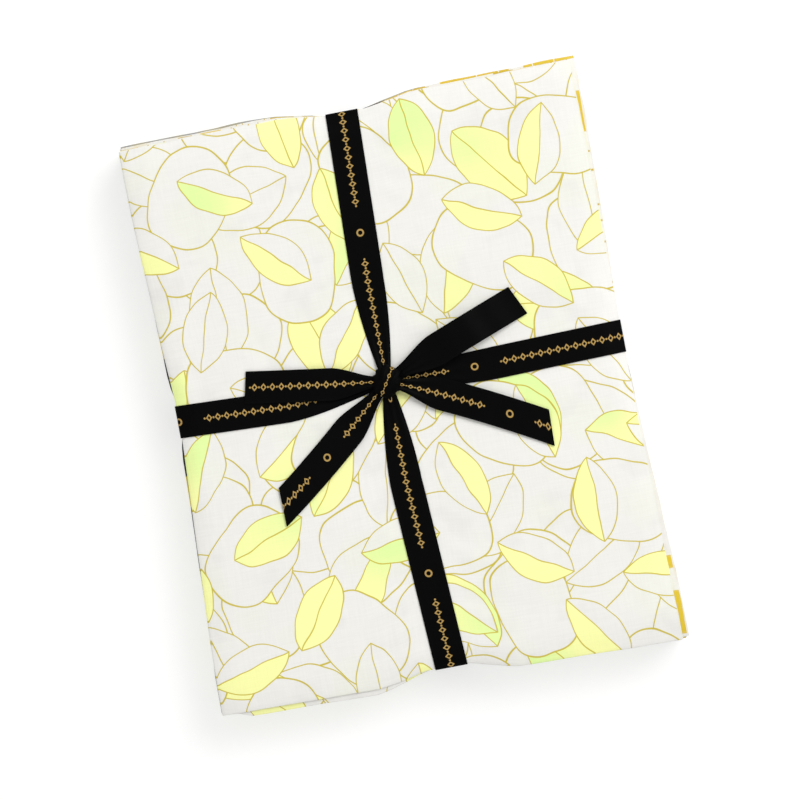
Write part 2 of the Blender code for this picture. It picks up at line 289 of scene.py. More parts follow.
@dataclass(frozen=True)
class Cotton:
    """A printed quilting cotton: its ground, the design's line and fill colours, and its weave."""

    name: str
    slot: str
    ground: Colour
    line: Colour
    fill: Colour
    second_fill: Colour
    design: Print
    thread: float = 0.42 * MM
    line_wide: float = 0.54 * MM
    wobble: float = 2.2 * MM

    def face(self) -> bpy.types.Material:
        """The printed side."""
        shader = Shader(self.name, sheen=0.12, specular=0.25)
        place = shader.uv()
        ground = self.dyed(shader, place)
        colour = {
            Print.LEAVES: self.leaves,
            Print.BLOCKS: self.blocks,
            Print.SPOTS: self.spots,
            Print.PLAIN: lambda _shader, _place, plain: plain,
        }[self.design](shader, place, ground)
        return self.woven(shader, place, colour)

    def wrong_side(self) -> bpy.types.Material:
        """The unprinted side, where the design only shows faintly through the threads."""
        shader = Shader(self.name + " wrong side", sheen=0.12, specular=0.25)
        place = shader.uv()
        pale = tuple(0.55 * part + 0.36 for part in self.ground)
        ghost = shader.smooth(shader.noise(place, 14 * MM), 0.45, 0.62)
        return self.woven(shader, place, shader.mix(ghost * 0.25, pale, self.fill))

    def dyed(self, shader: Shader, place: Wire) -> Wire:
        """The ground: not quite even, with the cloth under it faintly showing through."""
        warm = shader.smooth(shader.noise(place, 42 * MM, 1.5), 0.48, 0.66)
        cool = shader.smooth(shader.noise(place, 27 * MM, 2.0, 0.6), 0.52, 0.70)
        through = tuple(0.93 * part for part in self.ground)
        lit = tuple(0.88 * a + 0.12 * b for a, b in zip(self.ground, self.second_fill))
        return shader.mix(cool * 0.7, shader.mix(warm * 0.55, self.ground, lit), through)

    def wavering(self, shader: Shader, place: Wire) -> Wire:
        """The map bent a little, so that drawn lines waver as by hand."""
        bend = shader.node("ShaderNodeTexNoise", {}, {"Vector": place, "Scale": 1 / (19 * MM), "Detail": 1.0}, "Color")
        reach = 2 * self.wobble
        shift = shader.vector("MULTIPLY", shader.vector("SUBTRACT", bend, (0.5, 0.5, 0.5)), (reach, reach, 0.0))
        return shader.vector("ADD", place, shift)

    def leaves(self, shader: Shader, place: Wire, ground: Wire) -> Wire:
        """Outlined leaves and pebbles that overlap, some leaves filled on one side of the rib."""
        drawn = self.wavering(shader, place)
        tint = shader.smooth(shader.noise(place, 90 * MM, 1.0), 0.48, 0.66)
        fill = shader.mix(tint, self.fill, self.second_fill)
        colour = ground
        for motif in LEAF_LAYERS:
            inside, line, filled = self.motif(shader, drawn, motif)
            colour = shader.mix(inside, colour, ground)
            if filled:
                colour = shader.mix(filled, colour, fill)
            colour = shader.mix(line, colour, self.line)
        return colour

    def motif(self, shader: Shader, place: Wire, motif: Motif) -> tuple[Wire, Wire, Wire | None]:
        """Masks of one layer of the design: its insides, its lines and its filled parts."""
        soft = 0.16 * MM / motif.cell
        half_line = self.line_wide / 2 / motif.cell
        turned = shader.node("ShaderNodeMapping", {"vector_type": "POINT"},
                             {"Vector": place, "Rotation": (0.0, 0.0, motif.turn),
                              "Location": (motif.seed, motif.seed / 3, 0.0), "Scale": (1 / motif.cell,) * 3})
        cell = shader.vector("ADD", shader.vector("FLOOR", turned), (0.0, 0.0, motif.seed))
        chance = shader.add("ShaderNodeTexWhiteNoise", {"noise_dimensions": "3D"}, {"Vector": cell})
        spin, kind = Wire(shader, chance.outputs["Value"]), Wire(shader, chance.outputs["Color"])
        stray = shader.vector("MULTIPLY", shader.vector("SUBTRACT", kind, (0.5, 0.5, 0.5)), (0.14, 0.14, 0.0))
        middle = shader.vector("SUBTRACT", shader.vector("FRACTION", turned), (0.5, 0.5, 0.0))
        local = shader.node("ShaderNodeVectorRotate", {"rotation_type": "Z_AXIS"},
                            {"Vector": shader.vector("ADD", middle, stray), "Angle": spin * math.tau})
        x, y, _ = shader.parts(local)
        _, _, chosen = shader.parts(kind)
        if motif.leaf:
            radius = (motif.long ** 2 + motif.wide ** 2) / (2 * motif.wide)
            away = shader.together(abs(x) + (radius - motif.wide), y, 0.0)
            outside = shader.vector("LENGTH", away, out="Value") - radius
        else:
            round_off = (abs(x) / motif.wide) ** 2.6 + (abs(y) / motif.long) ** 2.6
            outside = (round_off ** (1 / 2.6) - 1) * (motif.wide * 0.9)
        inside = shader.smooth(outside, soft, -soft)
        line = shader.smooth(abs(outside) - half_line, soft, -soft)
        if not motif.leaf:
            return inside, line, None
        rib = shader.smooth(abs(x) - half_line, soft, -soft) * inside
        one_side = shader.smooth(x, -soft, soft)
        both_sides = shader.math("GREATER_THAN", chosen, 1 - motif.filled / 3)
        either = shader.math("GREATER_THAN", chosen, 1 - motif.filled)
        filled = inside * either * shader.math("MAXIMUM", one_side, both_sides)
        return inside, shader.math("MAXIMUM", line, rib), filled

    def blocks(self, shader: Shader, place: Wire, ground: Wire) -> Wire:
        """Blocks of uneven sizes in rows: some filled, some only outlined, some left out."""
        x, y, shown, (wide, tall, tone) = self.cells(shader, place, BLOCK_CELL)
        outside = shader.math("MAXIMUM", x - wide * 0.22 - 0.18, y - tall * 0.34 - 0.08)
        filled = shader.smooth(outside, 0.02, -0.02) * shader.math("GREATER_THAN", tone, 0.5)
        line = shader.smooth(abs(outside) - 0.018, 0.016, -0.016)
        mark = shader.math("MAXIMUM", filled, line) * shader.math("GREATER_THAN", shown, 0.25)
        return self.marked(shader, mark, tone, ground)

    def spots(self, shader: Shader, place: Wire, ground: Wire) -> Wire:
        """Scattered round spots."""
        x, y, shown, (_, _, tone) = self.cells(shader, place, SPOT_CELL)
        away = shader.vector("LENGTH", shader.together(x, y, 0.0), out="Value")
        mark = shader.smooth(away, 0.30, 0.26) * shader.math("GREATER_THAN", shown, 0.35)
        return self.marked(shader, mark, tone, ground)

    def cells(self, shader: Shader, place: Wire,
              size: tuple[float, float]) -> tuple[Wire, Wire, Wire, tuple[Wire, ...]]:
        """A grid of cells with one at the cloth's long cut edges.

        Args:
            shader: The material's tree.
            place: The map.
            size: The size of a cell.

        Returns:
            The distances across and along from the middle of a point's own cell, as shares of the cell, and one
            random number and three more of that cell.
        """
        at_edge = EDGE_IN_CELL - CUT_EDGE / size[0]
        steps = shader.vector("MULTIPLY", self.wavering(shader, place), (1 / size[0], 1 / size[1], 1.0))
        scaled = shader.vector("ADD", steps, (at_edge, 0.0, 0.0))
        chance = shader.add("ShaderNodeTexWhiteNoise", {"noise_dimensions": "3D"},
                            {"Vector": shader.vector("FLOOR", scaled)})
        middle = shader.vector("SUBTRACT", shader.vector("FRACTION", scaled), (0.5, 0.5, 0.0))
        x, y, _ = shader.parts(shader.vector("ABSOLUTE", middle))
        return x, y, Wire(shader, chance.outputs["Value"]), shader.parts(Wire(shader, chance.outputs["Color"]))

    def marked(self, shader: Shader, mark: Wire, tone: Wire, ground: Wire) -> Wire:
        """The ground with its marks, each in the line's colour or the fill's."""
        return shader.mix(mark, ground, shader.mix(shader.math("GREATER_THAN", tone, 0.75), self.line, self.fill))

    def woven(self, shader: Shader, place: Wire, colour: Wire) -> bpy.types.Material:
        """Gives a printed colour the threads of a plain weave, and finishes the material."""
        u, v, _ = shader.parts(place)
        waves = [shader.math("SINE", part * (math.tau / self.thread)) for part in (u, v)]
        over_under = waves[0] * waves[1] * 0.5 + 0.5
        slub_u = shader.noise(shader.vector("MULTIPLY", place, (0.06, 1.0, 1.0)), 0.9 * MM, 1.0)
        slub_v = shader.noise(shader.vector("MULTIPLY", place, (1.0, 0.06, 1.0)), 0.9 * MM, 1.0)
        slub = (slub_u + slub_v) * 0.5
        shade = shader.smooth(slub, 0.25, 0.75)
        dim = shader.vector("MULTIPLY", colour, (0.955, 0.955, 0.95))
        tone = shader.mix(shade, dim, colour)
        height = over_under * 0.6 + slub * 0.7
        return shader.finish(tone, 0.80 + shade * 0.12, height, 0.05 * MM)


@dataclass(frozen=True)
class SatinRibbon:
    """A black woven satin ribbon with a gold ornament printed along its face."""

    black: Colour = (0.0010, 0.0010, 0.0010)
    # black is the ribbon's own black; paler_black is a slightly paler black, mixed in along the threads' streaks and
    # at the selvedges
    paler_black: Colour = (0.0026, 0.0025, 0.0026)
    gold: Colour = (0.46, 0.30, 0.098)
    half_width: float = RIBBON_WIDTH / 2
    rib: float = 0.34 * MM
    run: float = 88 * MM
    pitch: float = 4.4 * MM
    lozenge: float = 1.9 * MM
    core: float = 0.95 * MM
    dot: float = 0.5 * MM
    ring: float = 1.5 * MM
    ring_line: float = 0.4 * MM
    soft: float = 0.10 * MM

    def material(self, name: str, printed: bool) -> bpy.types.Material:
        """One side of the ribbon.

        Args:
            name: The material's name.
            printed: Whether this side has the ornament.

        Returns:
            The material.
        """
        shader = Shader(name, specular=0.03)
        place = shader.uv()
        along, across, _ = shader.parts(place)
        rib = shader.math("SINE", along * (math.tau / self.rib)) * 0.5 + 0.5
        thread = shader.noise(shader.vector("MULTIPLY", place, (1.0, 0.08, 1.0)), 0.5 * MM, 1.0)
        selvedge = shader.smooth(abs(across), self.half_width - 0.9 * MM, self.half_width - 0.6 * MM)
        # Along the threads' streaks and at the selvedges, the black is mixed towards a slightly paler black
        colour = shader.mix(thread * 0.6 + selvedge * 0.25, self.black, self.paler_black)
        roughness = 0.42 + thread * 0.14 + selvedge * 0.1
        height = rib * 0.35 + thread * 0.4 + selvedge * 0.8
        if printed:
            mark = self.ornament(shader, along, across)
            speckle = shader.smooth(shader.noise(place, 0.45 * MM, 1.0), 0.30, 0.50)
            mark = mark * (speckle * 0.35 + 0.65)
            colour = shader.mix(mark, colour, self.gold)
            roughness = roughness - mark * 0.04
            height = height + mark * 0.5
        return shader.finish(colour, roughness, height, 0.04 * MM)

    def ornament(self, shader: Shader, along: Wire, across: Wire) -> Wire:
        """A mask of the gold print: runs of lozenges and dots, with a ring in each gap between runs."""
        soft, pitch = self.soft, self.pitch
        in_run = shader.math("PINGPONG", along, self.run / 2)
        in_pitch = shader.math("PINGPONG", along, pitch / 2)
        diamond = (pitch / 2 - in_pitch) * 1.25 + abs(across)
        lozenge = shader.smooth(diamond, self.lozenge + soft, self.lozenge - soft)
        core = shader.smooth(diamond, self.core - soft, self.core + soft)
        dot = shader.vector("LENGTH", shader.together(in_pitch, across, 0.0), out="Value")
        marks = shader.math("MAXIMUM", lozenge * core, shader.smooth(dot, self.dot + soft, self.dot - soft))
        chain = marks * shader.math("GREATER_THAN", in_run, 3 * pitch - 0.6 * MM)
        ring = abs(shader.vector("LENGTH", shader.together(in_run, across, 0.0), out="Value") - self.ring)
        return shader.math("MAXIMUM", chain, shader.smooth(ring, self.ring_line + soft, self.ring_line - soft))


@dataclass(frozen=True)
class Ripples:
    """A soft uneven surface, the sum of a few waves of set lengths and seeded headings."""

    seed: int
    shortest: float
    longest: float
    waves: int = 9

    def at(self, x: np.ndarray, y: np.ndarray) -> np.ndarray:
        """The height from about -1 to 1 at each point."""
        chance = np.random.default_rng(self.seed)
        total = np.zeros(np.broadcast(x, y).shape)
        for _ in range(self.waves):
            heading, phase = chance.uniform(0, math.tau, 2)
            length = chance.uniform(self.shortest, self.longest)
            total += np.sin((x * math.cos(heading) + y * math.sin(heading)) * math.tau / length + phase)
        return total / math.sqrt(self.waves) * 0.7


class Side(Enum):
    """The four sides of the stack, by what the cloth does there: its last fold, cut edges, first fold, ends."""

    FOLD = (0, -1, 4.4 * MM, 5.3 * MM, 2.9 * MM)
    CUT = (0, 1, 2.4 * MM, 6.3 * MM, 4.9 * MM)
    CREASE = (1, -1, 4.2 * MM, -0.9 * MM, -5.8 * MM)
    END = (1, 1, 1.9 * MM, -3.0 * MM, -5.8 * MM)

    def __init__(self, axis: int, sign: int, notch: float, band_edge: float, band_gathered: float) -> None:
        """Keeps what the side is like.

        Args:
            axis: The axis it faces along, 0 or 1.
            sign: The way it faces.
            notch: How far the tied ribbon draws it in.
            band_edge: Where the band's middle line crosses this edge.
            band_gathered: Where that line lies once the band is gathered towards the knot.
        """
        self.axis = axis
        self.sign = sign
        self.notch = notch
        self.band_edge = band_edge
        self.band_gathered = band_gathered


@dataclass(frozen=True)
class TiedStack:
    """The form of the soft stack under its ribbon: where any point of a level stack lies once it is tied."""

    height: float
    half_width: float = 114.3 * MM
    half_length: float = 141.6 * MM
    ribbon_x: float = -2.0 * MM
    ribbon_y: float = 5.8 * MM
    channel: float = 9.6 * MM
    notch_reach: float = 36 * MM
    shoulder: float = 14 * MM
    press: float = 1.3 * MM
    droop: float = 1.5 * MM
    pinch: float = 3 * MM
    lift: float = 1.5 * MM
    ribbon_step: float = 0.7 * MM
    wrinkle: float = 0.42 * MM
    pucker: float = 0.55 * MM
    pucker_reach: float = 17 * MM
    notch_flat: float = 2 * MM
    calm: float = 9 * MM
    bunch: float = 0.5
    bunch_turns: float = 14
    bunch_stray: float = 3
    bunch_soft: float = 5

    def half(self, axis: int) -> float:
        """Half the stack's size along an axis."""
        return (self.half_width, self.half_length)[axis]

    def ribbon_at(self, axis: int) -> float:
        """Where the ribbon that crosses an axis lies on it."""
        return (self.ribbon_x, self.ribbon_y)[axis]

    def tied(self, place: np.ndarray, axis: int) -> np.ndarray:
        """1 under the ribbon, falling evenly to 0 at the shoulder of the stack, along an axis."""
        ribbon_at = self.ribbon_at(axis)
        room = self.half(axis) - self.shoulder - self.channel
        side = room - np.sign(place - ribbon_at) * ribbon_at
        return np.clip(1 - (np.abs(place - ribbon_at) - self.channel) / side, 0, 1)

    def drawn_in(self, side: Side, place: np.ndarray) -> np.ndarray:
        """1 where the ribbon draws a side in, falling to 0 along that side, sooner at the two short sides."""
        if side.axis == 0:
            return self.tied(place, 1)
        room = self.notch_reach - self.channel - self.notch_flat
        return np.clip((self.notch_reach - np.abs(place - self.ribbon_x)) / room, 0, 1)

    def edge(self, place: np.ndarray, axis: int) -> np.ndarray:
        """0 up to the shoulder and 1 at the outline, on an even curve."""
        out = np.maximum(0, (np.abs(place) - self.half(axis) + self.shoulder) / self.shoulder)
        return np.where(out < 1, out ** 2, 2 * out - 1)

    def from_channel(self, place: np.ndarray, axis: int) -> np.ndarray:
        """0 under the ribbon that crosses an axis, rising to 1 a little way from it."""
        return eased(np.clip((np.abs(place - self.ribbon_at(axis)) - self.channel) / self.calm, 0, 1))

    def clear(self, x: np.ndarray, y: np.ndarray) -> np.ndarray:
        """0 under either ribbon, rising to 1 a little way from both."""
        return np.minimum(self.from_channel(x, 0), self.from_channel(y, 1))

    def relief(self, x: np.ndarray, y: np.ndarray) -> np.ndarray:
        """The wrinkles of the top: long soft ones, and puckers that run away from the ribbon."""
        long_ones = Ripples(seed=5, shortest=34 * MM, longest=95 * MM).at(x, y)
        puckers = np.zeros(np.broadcast(x, y).shape)
        for place, along, at, seed in ((x, y, self.ribbon_x, 8), (y, x, self.ribbon_y, 9)):
            away = np.maximum(0, np.abs(place - at) - self.channel)
            wave = Ripples(seed=seed, shortest=11 * MM, longest=30 * MM, waves=5)
            puckers += wave.at(along + 0.35 * away, along * 0) * np.exp(-away / self.pucker_reach)
        return (self.wrinkle * long_ones + self.pucker * puckers) * self.clear(x, y)

    def settled(self, x: np.ndarray, y: np.ndarray, level: np.ndarray) -> np.ndarray:
        """The height of each point of a level stack once it is tied."""
        along, across = self.tied(x, 0) ** 2, self.tied(y, 1) ** 2
        side, end = self.edge(x, 0), self.edge(y, 1)
        tied = self.drawn_in(Side.END, x) ** 1.5 * end + across * side
        bottom = self.ribbon_step * (along + across) + self.lift * tied
        top = self.height - self.press * (along + across) - self.droop * (side + end) - self.pinch * tied
        share = level / self.height
        bunch = Ripples(seed=3, shortest=40 * MM, longest=120 * MM).at(x, y)
        loose = self.bunch * self.clear(x, y) * np.clip(side + end, 0, 1)
        wave = np.sin(self.bunch_turns * share + self.bunch_stray * bunch)
        share = share + loose * share * (1 - share) * wave / self.bunch_soft
        return bottom + share * (top - bottom) + self.relief(x, y) * np.clip(share, 0, 1) ** 5

    def top_at(self, x: float, y: float) -> float:
        """The height of the stack's top at one point."""
        return float(self.settled(np.array(x), np.array(y), np.array(self.height)))


def new_mesh(name: str, points: np.ndarray, uv: np.ndarray) -> bpy.types.Mesh:
    """An open sheet from a grid of points.

    Args:
        name: The mesh's name.
        points: Its points, by row, column and axis.
        uv: The map of each point, in metres.

    Returns:
        The mesh, shaded smooth.
    """
    rows, columns = points.shape[:2]
    index = np.arange(rows * columns).reshape(rows, columns)
    faces = np.stack([index[:-1, :-1], index[1:, :-1], index[1:, 1:], index[:-1, 1:]], axis=-1).reshape(-1, 4)
    mesh = bpy.data.meshes.new(name)
    mesh.from_pydata(points.reshape(-1, 3).tolist(), [], faces.tolist())
    layer = mesh.uv_layers.new(name="UVMap")
    layer.data.foreach_set("uv", uv.reshape(-1, 2)[faces.ravel()].astype(np.float32).ravel())
    mesh.shade_smooth()
    return mesh


def thickened(name: str, mesh: bpy.types.Mesh, thickness: float,
              sides: Sequence[bpy.types.Material]) -> bpy.types.Object:
    """Gives an open sheet its thickness, and its two sides their materials.

    Args:
        name: The piece's name.
        mesh: The open sheet.
        thickness: Its thickness.
        sides: The materials of its face and its back.

    Returns:
        The piece, a plain closed mesh.
    """
    helper = show(bpy.data.objects.new("helper", mesh))
    for material in sides:
        mesh.materials.append(material)
    solid = helper.modifiers.new("thickness", "SOLIDIFY")
    solid.thickness = thickness
    solid.offset = 0
    solid.use_even_offset = True
    solid.material_offset = 1
    made = bpy.data.meshes.new_from_object(helper.evaluated_get(bpy.context.evaluated_depsgraph_get()))
    bpy.data.objects.remove(helper)
    made.name = name
    made.set_sharp_from_angle(angle=math.radians(50))
    return show(bpy.data.objects.new(name, made))


def stand_for(piece: bpy.types.Object, node: str) -> None:
    """Says that a piece rides on the root body and what solid it replaces."""
    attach(piece, BODY)
    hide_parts(node)


@dataclass
class FatQuarter:
    """One fat quarter, folded in half and in half again, at its place in the stack."""

    node: str
    number: int
    level: float
    stack: TiedStack
    cotton: Cotton
    cell: float = 6 * MM
    hidden_cell: float = 6 * MM
    flat: tuple[float, float] = (457.2 * MM, 566.4 * MM)
    layer_pitch: float = 0.55 * MM
    thickness: float = SHEET_THICK
    turn_steps: int = 5
    corner: float = 11 * MM
    column_half: float = 2 * MM
    notch_curve: float = 1.25
    fold_rough: float = 0.22 * MM
    cut_rough: float = 0.42 * MM
    layers_apart: float = 40
    layer_steps: tuple[float, ...] = (-0.9 * MM, -0.3 * MM, -1.6 * MM, 0.0)
    reach: dict[Side, tuple[float, float]] = field(default_factory=dict)
    slip: float = 0.0
    slack: float = 0.0

    def measure(self) -> None:
        """Reads from the frame how far this piece reaches on each side, at the two ends of that side."""
        points = np.array([point.co for point in FRAME_NODES[self.node].data.vertices])
        for side in Side:
            out, along = points[:, side.axis] * side.sign, points[:, 1 - side.axis]
            near_low, near_high = along < along.min() + self.corner, along > along.max() - self.corner
            self.reach[side] = float(out[near_low].max()), float(out[near_high].max())
        shoulder = self.stack.shoulder - self.stack.half_width
        column = points[np.abs(points[:, 0] - shoulder) < self.column_half]
        self.slip = max(0.0, float(-column[:, 1].min()) - self.loose(Side.CREASE, shoulder))

    def loose(self, side: Side, place: np.ndarray | float) -> np.ndarray | float:
        """How far the cloth would reach on one side, at a place along it, if nothing tied it."""
        first, last = self.reach[side]
        return first + (last - first) * (place / self.stack.half(1 - side.axis) + 1) / 2

    def run(self, half: float, at_start: float) -> tuple[np.ndarray, np.ndarray]:
        """The steps of a sheet folded once: out along its upper layer, round the turn and back underneath.

        Args:
            half: The length of the run from the fold to the cut edge.
            at_start: The width of the upper layer's cells.

        Returns:
            The share of the run at each step, 0 at the fold, and the angle turned so far.
        """
        upper = np.linspace(1, 0, round(half / at_start) + 1)
        under = np.linspace(0, 1, round(half / self.hidden_cell) + 1)
        turn = np.linspace(0, math.pi, self.turn_steps + 1)[1:-1]
        share = np.concatenate([upper, turn * 0, under])
        angle = np.concatenate([upper * 0, turn, under * 0 + math.pi])
        return share, angle

    def outline(self, side: Side, place: np.ndarray, layer: np.ndarray | float) -> np.ndarray:
        """How far the cloth reaches on one side, at a place along that side.

        Args:
            side: The side.
            place: The place along it.
            layer: How much further than the piece's own outline each layer stands out.

        Returns:
            The distance from the middle of the stack.
        """
        outline = self.stack.half(side.axis)
        tied = self.stack.drawn_in(side, place) ** self.notch_curve
        if side is not Side.CREASE:
            tied = tied * (1 - self.slack * tied * self.stack.from_channel(place, 1 - side.axis))
        rough = self.fold_rough if side in (Side.FOLD, Side.CREASE) else self.cut_rough
        seed = 97 * self.number + 4 * side.axis + side.sign + 1
        wave = Ripples(seed=seed, shortest=16 * MM, longest=70 * MM, waves=6)
        loose = self.loose(side, place) + layer + rough * wave.at(place, layer * self.layers_apart)
        return outline + (1 - tied) * (loose - outline) - tied * side.notch

    def slipped(self, x: np.ndarray, lower_half: np.ndarray) -> np.ndarray:
        """How much further than the upper half the lower half stands out at the crease."""
        stack = self.stack
        from_fold = np.clip((x + stack.half_width) / stack.shoulder, 0, 1)
        return self.slip * lower_half * (x < stack.ribbon_x) * from_fold ** 3

    def build(self) -> bpy.types.Object:
        """Folds the sheet, settles it into the stack and gives it its thickness and cotton."""
        self.measure()
        stack = self.stack
        width, length = self.flat[0] / 2, self.flat[1] / 2
        share_x, last_turn = (part[:, None] for part in self.run(width, self.cell))
        share_y, first_turn = (part[None, :] for part in self.run(length, self.cell))
        lower_half = last_turn > math.pi / 2
        pick = lower_half * 2 + (first_turn > math.pi / 2) * 1
        layer = np.roll(np.array(self.layer_steps), -self.number)[pick]
        x_guess = (2 * share_x - 1) * stack.half_width + 0 * share_y
        y_guess = (2 * share_y - 1) * stack.half_length + 0 * share_x
        fold_reach = 1.5 * self.layer_pitch + self.thickness / 2
        crease_reach = (self.layer_pitch + self.thickness) / 2
        fold = fold_reach - self.outline(Side.FOLD, y_guess, 0.0)
        crease = crease_reach - self.outline(Side.CREASE, x_guess, self.slipped(x_guess, lower_half))
        x = fold + share_x * (self.outline(Side.CUT, y_guess, layer) - fold)
        y = crease + share_y * (self.outline(Side.END, x_guess, layer) - crease)
        radius = self.layer_pitch * (1 + 0.5 * np.cos(first_turn))
        middle = self.level + 1.5 * self.layer_pitch + self.thickness / 2
        z = middle + radius * np.cos(last_turn) + 0 * x
        x = x - radius * np.sin(last_turn)
        y = y - self.layer_pitch / 2 * np.sin(first_turn)
        points = np.stack([x, y, stack.settled(x, y, z)], axis=-1)
        flat_x = share_x * width * np.cos(last_turn) + 0 * share_y
        flat_y = share_y * length * np.cos(first_turn) + 0 * share_x
        mesh = new_mesh(self.node, points, np.stack([flat_x, flat_y], axis=-1))
        name = self.node + "_cloth"
        piece = thickened(name, mesh, self.thickness, (self.cotton.face(), self.cotton.wrong_side()))
        stand_for(piece, self.node)
        return piece


class RibbonSweep:
    """A Geometry Nodes tree that lays a ribbon along a line of points, each with its half width sideways."""

    def __init__(self) -> None:
        """Builds the tree once for all lengths of ribbon."""
        self.tree = bpy.data.node_groups.new("ribbon along a line", "GeometryNodeTree")
        sockets = self.tree.interface
        kinds = {"Line": "Geometry", "Steps along": "Int", "Steps across": "Int", "Half width": "Float",
                 "Pleats": "Float", "Pleat depth": "Float", "Start": "Float", "Face": "Material"}
        self.identifiers = {
            name: sockets.new_socket(name=name, in_out="INPUT", socket_type="NodeSocket" + kind).identifier
            for name, kind in kinds.items()
        }
        sockets.new_socket(name="Ribbon", in_out="OUTPUT", socket_type="NodeSocketGeometry")
        self.fill()

    def fill(self) -> None:
        """Adds the tree's nodes."""
        g = Graph(self.tree)
        given = g.add("NodeGroupInput", {}, {})
        asked = {name: Wire(g, given.outputs[name]) for name in self.identifiers}
        curve = g.node("GeometryNodeMeshToCurve", {}, {"Mesh": asked["Line"]})
        total = g.node("GeometryNodeCurveLength", {}, {"Curve": curve})
        grid = g.node("GeometryNodeMeshGrid", {}, {"Size X": 1.0, "Size Y": 1.0, "Vertices X": asked["Steps along"],
                                                   "Vertices Y": asked["Steps across"]}, "Mesh")
        x, y, _ = g.parts(g.node("GeometryNodeInputPosition", {}, {}))
        along, across = x + 0.5, y * 2.0
        flat = g.together(along * total + asked["Start"], across * asked["Half width"], 0.0)
        mapped = g.node("GeometryNodeStoreNamedAttribute", {"data_type": "FLOAT2", "domain": "CORNER"},
                        {"Geometry": grid, "Name": "UVMap", "Value": flat})
        side = g.node("GeometryNodeInputNamedAttribute", {"data_type": "FLOAT_VECTOR"}, {"Name": "side"}, "Attribute")
        sample = g.add("GeometryNodeSampleCurve", {"mode": "FACTOR", "data_type": "FLOAT_VECTOR"},
                       {"Curves": curve, "Value": side, "Factor": along})
        half, spot, ahead = (Wire(g, g.pick(sample.outputs, key)) for key in ("Value", "Position", "Tangent"))
        face = g.vector("NORMALIZE", g.vector("CROSS_PRODUCT", half, ahead))
        width = g.vector("LENGTH", half, out="Value")
        gathered = g.math("MAXIMUM", 1 - width / asked["Half width"], 0.0)
        depth = g.math("COSINE", across * asked["Pleats"] * math.pi) * gathered * asked["Pleat depth"]
        outwards = g.node("ShaderNodeVectorMath", {"operation": "SCALE"}, {0: half, "Scale": across})
        upwards = g.node("ShaderNodeVectorMath", {"operation": "SCALE"}, {0: face, "Scale": depth})
        placed = g.vector("ADD", g.vector("ADD", spot, outwards), upwards)
        laid = g.node("GeometryNodeSetPosition", {}, {"Geometry": mapped, "Position": placed})
        smooth = g.node("GeometryNodeSetShadeSmooth", {}, {"Geometry": laid})
        real = g.node("GeometryNodeRealizeInstances", {}, {"Geometry": smooth})
        dressed = g.node("GeometryNodeSetMaterial", {}, {"Geometry": real, "Material": asked["Face"]})
        g.add("NodeGroupOutput", {}, {"Ribbon": dressed})

    def mesh(self, line: Sequence[tuple[Vector, Vector]], sizes: Mapping[str, object]) -> bpy.types.Mesh:
        """The open mesh of one length of ribbon.

        Args:
            line: Its middle points, each with the vector to its edge.
            sizes: The tree's inputs by name.

        Returns:
            The mesh.
        """
        path = bpy.data.meshes.new("line")
        path.from_pydata([tuple(spot) for spot, _ in line], [(n, n + 1) for n in range(len(line) - 1)], [])
        sides = path.attributes.new("side", "FLOAT_VECTOR", "POINT")
        sides.data.foreach_set("vector", np.array([tuple(side) for _, side in line], np.float32).ravel())
        helper = show(bpy.data.objects.new("line", path))
        modifier = helper.modifiers.new("ribbon", "NODES")
        modifier.node_group = self.tree
        for name, value in sizes.items():
            modifier[self.identifiers[name]] = value
        made = bpy.data.meshes.new_from_object(helper.evaluated_get(bpy.context.evaluated_depsgraph_get()))
        bpy.data.objects.remove(helper)
        made.materials.clear()
        made.flip_normals()
        return made


@dataclass
class RibbonPiece:
    """One length of the ribbon: a band, or a free end."""

    node: str
    sweep: RibbonSweep
    face: bpy.types.Material
    back: bpy.types.Material
    width: float = RIBBON_WIDTH
    thickness: float = SHEET_THICK
    step: float = 1.0 * MM
    across: int = 15
    pleats: float = 3.0
    pleat_depth: float = 0.55 * MM
    print_start: float = 0.0

    def lay(self, line: Sequence[tuple[Vector, Vector]], rests_on: Sequence[str]) -> bpy.types.Object:
        length = sum((b[0] - a[0]).length for a, b in zip(line, line[1:]))
        mesh = self.sweep.mesh(line, {
            "Steps along": max(2, round(length / self.step)),
            "Steps across": self.across,
            "Half width": self.width / 2,
            "Pleats": self.pleats,
            "Pleat depth": self.pleat_depth,
            "Start": self.print_start,
            "Face": self.face,
        })
        piece = thickened(self.node + "_satin", mesh, self.thickness, (self.face, self.back))
        stand_for(piece, self.node)
        return piece


@dataclass(frozen=True)
class FreeEnd:
    """Where one free end of the ribbon lies, in millimetres from the stack's middle."""

    node: str
    heading: float
    half_way: tuple[float, float]
    tip: tuple[float, float]
    slant: float
    lift: float
    face_up: bool
    print_start: float


FREE_ENDS = (
    FreeEnd("tail_left", 172, (-40.2, 10.6), (-74.7, 15.8), 4, 1.2, True, 0.012),
    FreeEnd("tail_upper_right", 26, (30.9, 20.4), (64.7, 33.0), -5, 4.5, False, 0.0),
    FreeEnd("tail_lower_right", -23, (32.3, -11.6), (69.4, -31.6), -28, 1.0, True, 0.030),
    FreeEnd("tail_lower_left", 221, (-38.6, -22.9), (-67.5, -45.3), 35, 0.6, True, 0.045),
)


# Where a band goes under the stack's edge, and how the crosswise band steps over the lengthwise one, as
# millimetres inwards or from the middle, and up from the floor.
UNDER_EDGE = ((-0.2, 1.0), (1.4, 0.7), (6, 0.3), (11, 0.0))
STEP_OVER = ((14, 0.0), (10.5, 0.35), (8.6, 0.7), (-8.6, 0.7), (-10.5, 0.35), (-14, 0.0))


